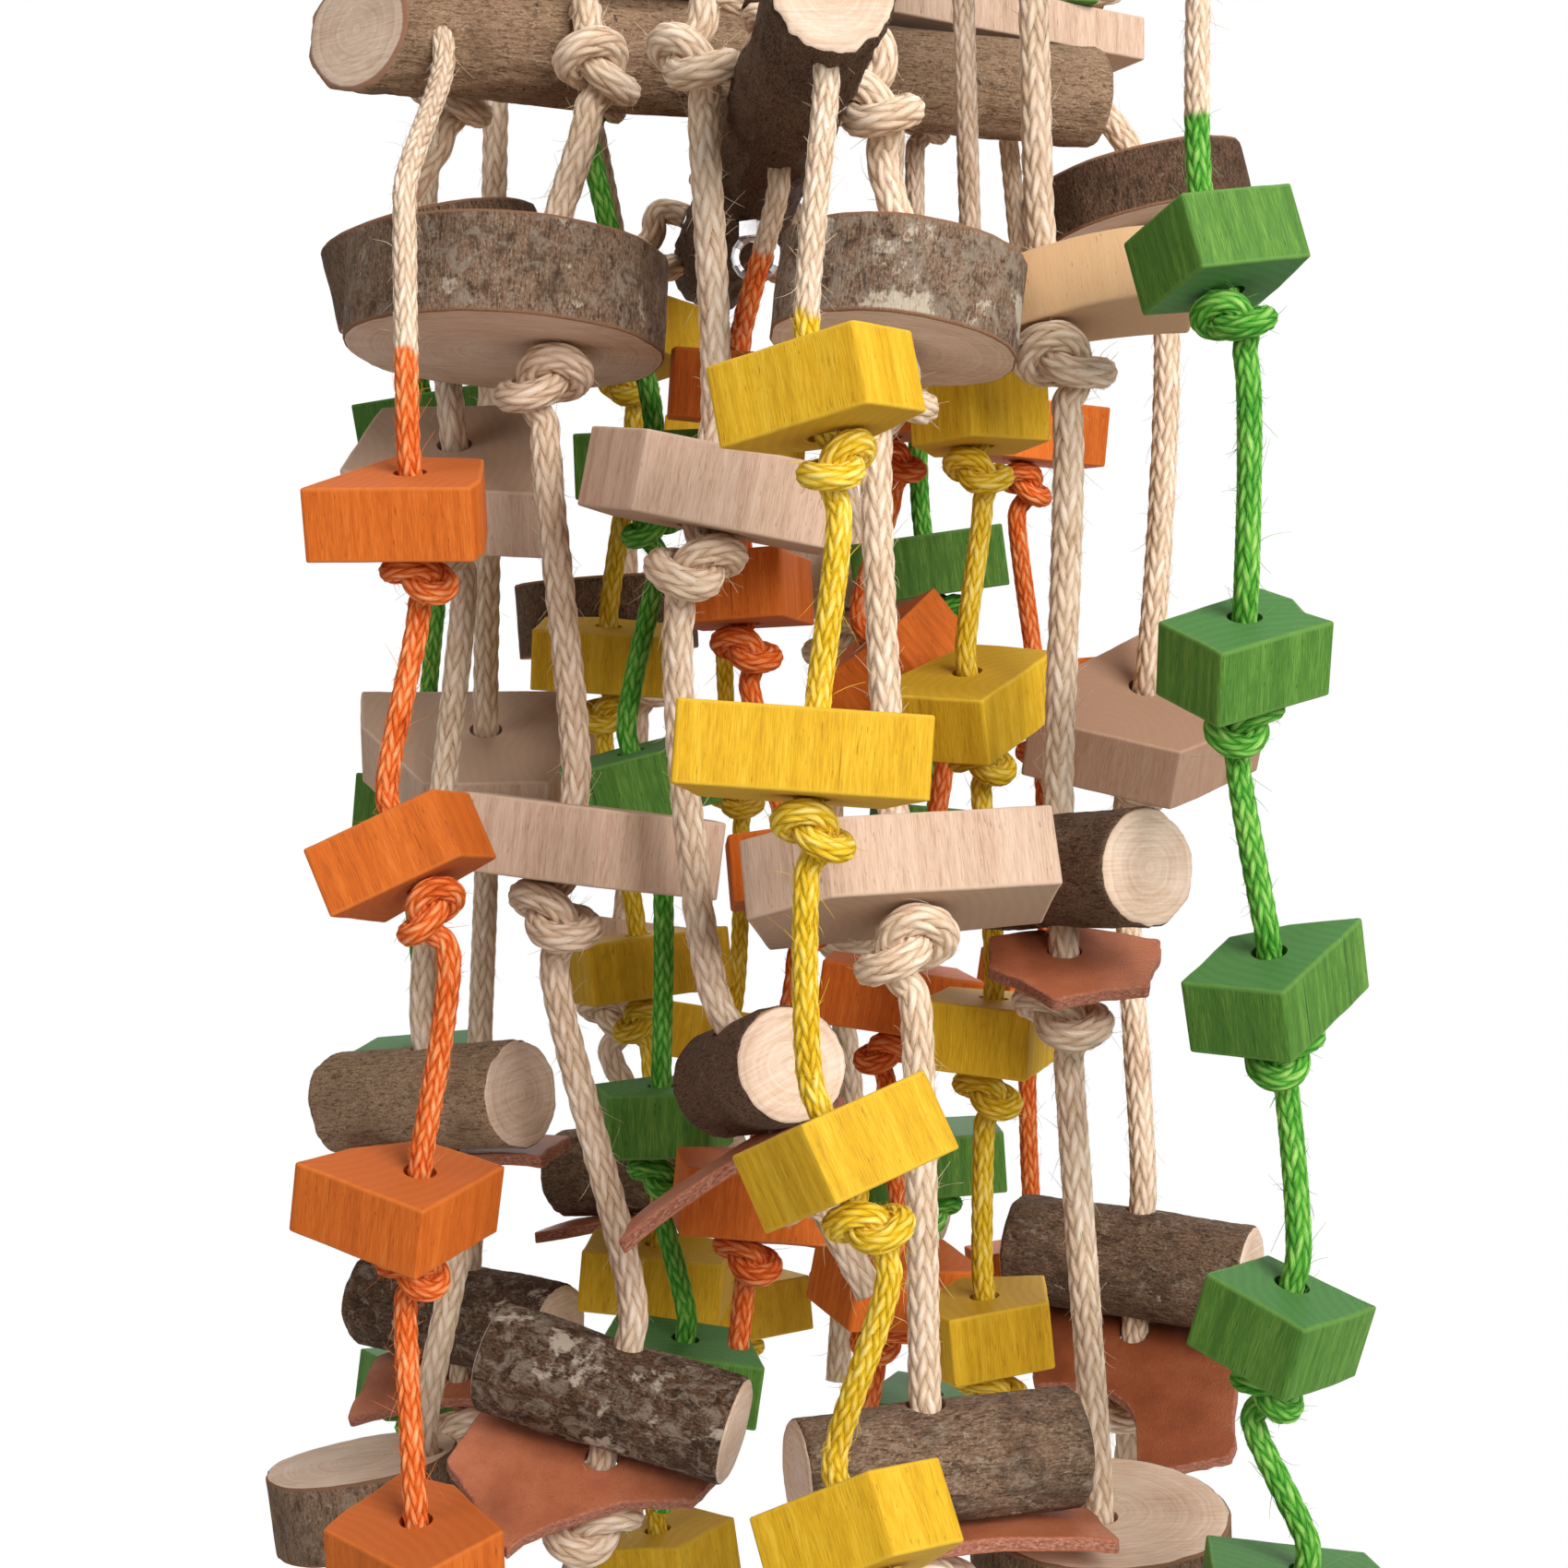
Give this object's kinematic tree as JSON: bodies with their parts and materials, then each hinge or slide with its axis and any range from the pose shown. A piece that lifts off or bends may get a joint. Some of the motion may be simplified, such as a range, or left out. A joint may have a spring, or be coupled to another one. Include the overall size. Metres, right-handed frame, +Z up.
{
  "type": "parrot toy",
  "caption": "Hanging bird toy: crossed branches on an eye bolt carry knotted sisal ropes threaded with dyed wood blocks, bark discs, boards, short logs and leather off-cuts.",
  "frame": {"origin": "inner top of the hanging ring, where a hook or chain link holds it", "axes": "+Z up along the eye bolt, -Y towards the viewer of the front"},
  "size_m": [0.3177, 0.3628, 0.6425],
  "materials": {
    "steel": "polished steel wire",
    "bark_wood": "branch wood with its grey-brown bark, sawn pale ends",
    "pale_wood": "bare sawn softwood with visible grain",
    "tan_wood": "bare tan slab with visible grain",
    "orange_wood": "softwood dyed orange, grain showing",
    "yellow_wood": "softwood dyed yellow, grain showing",
    "green_wood": "softwood dyed green, grain showing",
    "sisal": "twisted natural sisal with loose fibres",
    "sisal_orange": "twisted sisal dyed orange",
    "sisal_yellow": "twisted sisal dyed yellow",
    "sisal_green": "twisted sisal dyed green",
    "leather": "vegetable-tanned off-cut, smooth top, rough cut edges"
  },
  "bodies": {
    "hanger": {"hang_ring": "steel"},
    "crown": {"eye_bolt": "steel", "eye_nut": "steel", "crown_log_upper": "bark_wood", "crown_board": "pale_wood", "crown_log_cross": "bark_wood", "crown_log_front": "bark_wood"},
    "orange_strand": {"rope_orange": "sisal_orange"},
    "block_orange_1": {"block_orange_1": "orange_wood"},
    "block_orange_2": {"block_orange_2": "orange_wood"},
    "block_orange_3": {"block_orange_3": "orange_wood"},
    "block_orange_4": {"block_orange_4": "orange_wood"},
    "yellow_strand": {"rope_yellow": "sisal_yellow"},
    "block_yellow_1": {"block_yellow_1": "yellow_wood"},
    "block_yellow_2": {"block_yellow_2": "yellow_wood"},
    "block_yellow_3": {"block_yellow_3": "yellow_wood"},
    "block_yellow_4": {"block_yellow_4": "yellow_wood"},
    "green_strand": {"rope_green": "sisal_green"},
    "block_green_1": {"block_green_1": "green_wood"},
    "block_green_2": {"block_green_2": "green_wood"},
    "block_green_3": {"block_green_3": "green_wood"},
    "block_green_4": {"block_green_4": "green_wood"},
    "block_green_5": {"block_green_5": "green_wood"},
    "left_front_strand": {"rope_left_front": "sisal"},
    "bark_disc_left_front": {"bark_disc_left_front": "bark_wood"},
    "board_left_front": {"board_left_front": "pale_wood"},
    "log_left_front": {"log_left_front": "bark_wood"},
    "leather_left_front": {"leather_left_front": "leather"},
    "centre_right_strand": {"rope_centre_right": "sisal"},
    "bark_disc_centre_right": {"bark_disc_centre_right": "bark_wood"},
    "board_centre_right": {"board_centre_right": "pale_wood"},
    "log_centre_right": {"log_centre_right": "bark_wood"},
    "leather_centre_right": {"leather_centre_right": "leather"},
    "right_front_strand": {"rope_right_front": "sisal"},
    "slab_right_front": {"slab_right_front": "tan_wood"},
    "log_right_front": {"log_right_front": "bark_wood"},
    "leather_right_front": {"leather_right_front": "leather"},
    "bark_disc_right_front": {"bark_disc_right_front": "bark_wood"},
    "centre_left_strand": {"rope_centre_left": "sisal"},
    "board_centre_left": {"board_centre_left": "pale_wood"},
    "log_centre_left": {"log_centre_left": "bark_wood"},
    "leather_centre_left": {"leather_centre_left": "leather"},
    "right_back_strand": {"rope_right_back": "sisal"},
    "bark_disc_right_back": {"bark_disc_right_back": "bark_wood"},
    "board_right_back": {"board_right_back": "pale_wood"},
    "log_right_back": {"log_right_back": "bark_wood"},
    "leather_right_back": {"leather_right_back": "leather"},
    "left_back_strand": {"strand_left_back": "pale_wood"},
    "far_left_back_strand": {"strand_far_left_back": "pale_wood"},
    "rear_left_strand": {"strand_rear_left": "pale_wood"},
    "rear_right_strand": {"strand_rear_right": "pale_wood"},
    "yellow_left_strand": {"strand_yellow_left": "yellow_wood"},
    "green_left_strand": {"strand_green_left": "green_wood"},
    "orange_centre_strand": {"strand_orange_centre": "orange_wood"},
    "orange_right_strand": {"strand_orange_right": "orange_wood"},
    "yellow_right_strand": {"strand_yellow_right": "yellow_wood"},
    "green_right_strand": {"strand_green_right": "green_wood"},
    "green_far_left_strand": {"strand_green_far_left": "green_wood"},
    "orange_far_right_strand": {"strand_orange_far_right": "orange_wood"},
    "yellow_rear_strand": {"strand_yellow_rear": "yellow_wood"}
  },
  "joints": [
    {"name": "crown_swing", "type": "hinge", "parent": "hanger", "child": "crown", "pos_m": [0, 0, -0.034], "axis": [1, 0, 0], "range_deg": [-20, 20]},
    {"name": "orange_swing", "type": "hinge", "parent": "crown", "child": "orange_strand", "pos_m": [-0.08891, -0.04724, -0.13011], "axis": [-0.5, 0.866, 0], "range_deg": [0, 15]},
    {"name": "block_orange_1_spin", "type": "hinge", "parent": "orange_strand", "child": "block_orange_1", "pos_m": [-0.09191, -0.08924, -0.26611], "axis": [-0.0174, -0.342, 0.9395], "continuous": true},
    {"name": "block_orange_2_spin", "type": "hinge", "parent": "orange_strand", "child": "block_orange_2", "pos_m": [-0.09291, -0.08924, -0.35811], "axis": [-0.4067, 0.2364, 0.8824], "continuous": true},
    {"name": "block_orange_3_spin", "type": "hinge", "parent": "orange_strand", "child": "block_orange_3", "pos_m": [-0.09091, -0.08924, -0.45211], "axis": [0.1392, -0.2729, 0.9519], "continuous": true},
    {"name": "block_orange_4_spin", "type": "hinge", "parent": "orange_strand", "child": "block_orange_4", "pos_m": [-0.08991, -0.09324, -0.54411], "axis": [-0.0174, -0.2079, 0.978], "range_deg": [-20, 25]},
    {"name": "yellow_swing", "type": "hinge", "parent": "crown", "child": "yellow_strand", "pos_m": [0.01679, -0.15711, -0.16815], "axis": [-1, 0, 0], "range_deg": [0, 15]},
    {"name": "block_yellow_1_spin", "type": "hinge", "parent": "yellow_strand", "child": "block_yellow_1", "pos_m": [0.01479, -0.15911, -0.24715], "axis": [-0.1737, 0.1029, 0.9794], "continuous": true},
    {"name": "block_yellow_2_spin", "type": "hinge", "parent": "yellow_strand", "child": "block_yellow_2", "pos_m": [0.01379, -0.16111, -0.33315], "axis": [0.0698, 0.0869, 0.9938], "continuous": true},
    {"name": "block_yellow_3_spin", "type": "hinge", "parent": "yellow_strand", "child": "block_yellow_3", "pos_m": [0.01979, -0.16211, -0.42715], "axis": [-0.4067, 0.1429, 0.9023], "continuous": true},
    {"name": "block_yellow_4_spin", "type": "hinge", "parent": "yellow_strand", "child": "block_yellow_4", "pos_m": [0.02279, -0.16211, -0.51715], "axis": [-0.2756, 0.4214, 0.864], "continuous": true},
    {"name": "green_swing", "type": "hinge", "parent": "crown", "child": "green_strand", "pos_m": [0.11425, -0.11626, -0.08853], "axis": [-0.7071, -0.7071, 0], "range_deg": [0, 15]},
    {"name": "block_green_1_spin", "type": "hinge", "parent": "green_strand", "child": "block_green_1", "pos_m": [0.11725, -0.12026, -0.20553], "axis": [-0.2249, 0.1692, 0.9596], "continuous": true},
    {"name": "block_green_2_spin", "type": "hinge", "parent": "green_strand", "child": "block_green_2", "pos_m": [0.12325, -0.12226, -0.30653], "axis": [-0.0349, -0.4224, 0.9058], "continuous": true},
    {"name": "block_green_3_spin", "type": "hinge", "parent": "green_strand", "child": "block_green_3", "pos_m": [0.13025, -0.12626, -0.39053], "axis": [-0.1908, -0.3677, 0.9102], "continuous": true},
    {"name": "block_green_4_spin", "type": "hinge", "parent": "green_strand", "child": "block_green_4", "pos_m": [0.13125, -0.13026, -0.47353], "axis": [0.2079, -0.2696, 0.9403], "continuous": true},
    {"name": "block_green_5_spin", "type": "hinge", "parent": "green_strand", "child": "block_green_5", "pos_m": [0.13625, -0.13126, -0.54553], "axis": [0.1045, -0.0694, 0.9921], "continuous": true},
    {"name": "left_front_swing", "type": "hinge", "parent": "crown", "child": "left_front_strand", "pos_m": [-0.04861, -0.03871, -0.13411], "axis": [-0.9659, -0.2588, 0], "range_deg": [0, 1.2]},
    {"name": "bark_disc_left_front_spin", "type": "hinge", "parent": "left_front_strand", "child": "bark_disc_left_front", "pos_m": [-0.05861, -0.04671, -0.20211], "axis": [0.0349, 0.0697, 0.997], "range_deg": [-5, 15]},
    {"name": "board_left_front_spin", "type": "hinge", "parent": "left_front_strand", "child": "board_left_front", "pos_m": [-0.05361, -0.04371, -0.35611], "axis": [0.1219, 0, 0.9925], "range_deg": [-20, 10]},
    {"name": "log_left_front_spin", "type": "hinge", "parent": "left_front_strand", "child": "log_left_front", "pos_m": [-0.03961, -0.04871, -0.51311], "axis": [0.225, -0.051, 0.973], "range_deg": [-10, 20]},
    {"name": "leather_left_front_spin", "type": "hinge", "parent": "log_left_front", "child": "leather_left_front", "pos_m": [-0.04412, -0.04769, -0.53261], "axis": [0.0802, -0.4993, 0.8627], "range_deg": [-5, 30]},
    {"name": "centre_right_swing", "type": "hinge", "parent": "crown", "child": "centre_right_strand", "pos_m": [0.03324, -0.09501, -0.16111], "axis": [-1, 0, 0], "range_deg": [0, 4]},
    {"name": "bark_disc_centre_right_spin", "type": "hinge", "parent": "centre_right_strand", "child": "bark_disc_centre_right", "pos_m": [0.03624, -0.09501, -0.21211], "axis": [0.1219, 0.1037, 0.9871], "continuous": true},
    {"name": "board_centre_right_spin", "type": "hinge", "parent": "centre_right_strand", "child": "board_centre_right", "pos_m": [0.03824, -0.09501, -0.36411], "axis": [-0.0872, 0.3732, 0.9237], "range_deg": [-90, 5]},
    {"name": "log_centre_right_spin", "type": "hinge", "parent": "centre_right_strand", "child": "log_centre_right", "pos_m": [0.04524, -0.09501, -0.51911], "axis": [-0.0349, -0.0349, 0.9988], "continuous": true},
    {"name": "leather_centre_right_spin", "type": "hinge", "parent": "centre_right_strand", "child": "leather_centre_right", "pos_m": [0.04586, -0.09439, -0.53679], "axis": [-0.0349, -0.0349, 0.9988], "continuous": true},
    {"name": "right_front_swing", "type": "hinge", "parent": "crown", "child": "right_front_strand", "pos_m": [0.07535, -0.07667, -0.0887], "axis": [0, -1, 0], "range_deg": [0, 10]},
    {"name": "slab_right_front_spin", "type": "hinge", "parent": "right_front_strand", "child": "slab_right_front", "pos_m": [0.08135, -0.06467, -0.2047], "axis": [-0.1219, 0.1723, 0.9775], "range_deg": [-12, 45]},
    {"name": "log_right_front_spin", "type": "hinge", "parent": "right_front_strand", "child": "log_right_front", "pos_m": [0.08535, -0.05867, -0.3637], "axis": [-0.0349, 0.0349, 0.9988], "range_deg": [-5, 45]},
    {"name": "leather_right_front_spin", "type": "hinge", "parent": "log_right_front", "child": "leather_right_front", "pos_m": [0.08618, -0.0595, -0.38745], "axis": [-0.0316, -0.3908, 0.92], "range_deg": [-2, 20]},
    {"name": "bark_disc_right_front_spin", "type": "hinge", "parent": "right_front_strand", "child": "bark_disc_right_front", "pos_m": [0.09535, -0.06267, -0.5537], "axis": [-0.0349, -0.1391, 0.9897], "continuous": true},
    {"name": "centre_left_swing", "type": "hinge", "parent": "crown", "child": "centre_left_strand", "pos_m": [-0.01435, -0.07897, -0.14411], "axis": [-0.9659, 0.2588, 0], "range_deg": [0, 9]},
    {"name": "board_centre_left_spin", "type": "hinge", "parent": "centre_left_strand", "child": "board_centre_left", "pos_m": [-0.01435, -0.07897, -0.25911], "axis": [0.1908, -0.0343, 0.981], "range_deg": [-75, 10]},
    {"name": "log_centre_left_spin", "type": "hinge", "parent": "centre_left_strand", "child": "log_centre_left", "pos_m": [-0.00035, -0.07497, -0.41911], "axis": [-0.4695, 0.0308, 0.8824], "continuous": true},
    {"name": "leather_centre_left_spin", "type": "hinge", "parent": "centre_left_strand", "child": "leather_centre_left", "pos_m": [0.00796, -0.07552, -0.43473], "axis": [-0.4695, 0.0308, 0.8824], "range_deg": [-15, 90]},
    {"name": "right_back_swing", "type": "hinge", "parent": "crown", "child": "right_back_strand", "pos_m": [0.10825, 0.0625, -0.10331], "axis": [0, -1, 0], "range_deg": [0, 7]},
    {"name": "bark_disc_right_back_spin", "type": "hinge", "parent": "right_back_strand", "child": "bark_disc_right_back", "pos_m": [0.12625, 0.0545, -0.14831], "axis": [-0.2079, 0.0341, 0.9776], "range_deg": [-150, 0]},
    {"name": "board_right_back_spin", "type": "hinge", "parent": "right_back_strand", "child": "board_right_back", "pos_m": [0.12475, 0.0485, -0.31731], "axis": [0.0523, -0.5728, 0.818], "range_deg": [-60, 0]},
    {"name": "log_right_back_spin", "type": "hinge", "parent": "right_back_strand", "child": "log_right_back", "pos_m": [0.12425, 0.0485, -0.49531], "axis": [0.0523, -0.0349, 0.998], "range_deg": [-5, 25]},
    {"name": "leather_right_back_spin", "type": "hinge", "parent": "log_right_back", "child": "leather_right_back", "pos_m": [0.12299, 0.04934, -0.51931], "axis": [-0.2082, -0.5442, 0.8127], "range_deg": [-90, 20]},
    {"name": "left_back_swing", "type": "hinge", "parent": "crown", "child": "left_back_strand", "pos_m": [-0.09501, -0.00461, -0.13111], "axis": [0, 1, 0], "range_deg": [0, 12]},
    {"name": "far_left_back_swing", "type": "hinge", "parent": "crown", "child": "far_left_back_strand", "pos_m": [-0.08902, 0.09058, -0.08937], "axis": [-0.2588, 0.9659, 0], "range_deg": [0, 8]},
    {"name": "rear_left_swing", "type": "hinge", "parent": "crown", "child": "rear_left_strand", "pos_m": [-0.0356, 0.10481, -0.15911], "axis": [0.5, 0.866, 0], "range_deg": [0, 4]},
    {"name": "rear_right_swing", "type": "hinge", "parent": "crown", "child": "rear_right_strand", "pos_m": [0.01326, 0.10802, -0.15711], "axis": [0.9659, -0.2588, 0], "range_deg": [0, 12]},
    {"name": "yellow_left_swing", "type": "hinge", "parent": "crown", "child": "yellow_left_strand", "pos_m": [-0.05818, 0.0592, -0.08925], "axis": [0, -1, 0], "range_deg": [0, 2]},
    {"name": "green_left_swing", "type": "hinge", "parent": "crown", "child": "green_left_strand", "pos_m": [-0.05144, 0.00683, -0.12911], "axis": [0.5, -0.866, 0], "range_deg": [0, 2]},
    {"name": "orange_centre_swing", "type": "hinge", "parent": "crown", "child": "orange_centre_strand", "pos_m": [0.00638, -0.05966, -0.16847], "axis": [0, -1, 0], "range_deg": [0, 4]},
    {"name": "orange_right_swing", "type": "hinge", "parent": "crown", "child": "orange_right_strand", "pos_m": [0.04292, 0.01353, -0.1368], "axis": [-0.2588, 0.9659, 0], "range_deg": [0, 3]},
    {"name": "yellow_right_swing", "type": "hinge", "parent": "crown", "child": "yellow_right_strand", "pos_m": [0.05747, -0.05849, -0.08877], "axis": [0.2588, -0.9659, 0], "range_deg": [0, 6]},
    {"name": "green_right_swing", "type": "hinge", "parent": "crown", "child": "green_right_strand", "pos_m": [0.05076, 0.03853, -0.12711], "axis": [-0.2588, 0.9659, 0], "range_deg": [0, 3]},
    {"name": "green_far_left_swing", "type": "hinge", "parent": "crown", "child": "green_far_left_strand", "pos_m": [-0.11285, 0.11483, -0.08947], "axis": [0, 1, 0], "range_deg": [0, 10]},
    {"name": "orange_far_right_swing", "type": "hinge", "parent": "crown", "child": "orange_far_right_strand", "pos_m": [0.07967, 0.046, -0.10331], "axis": [0.9659, -0.2588, 0], "range_deg": [0, 2]},
    {"name": "yellow_rear_swing", "type": "hinge", "parent": "crown", "child": "yellow_rear_strand", "pos_m": [-0.01296, 0.12131, -0.16908], "axis": [1, 0, 0], "range_deg": [0, 6]}
  ]
}
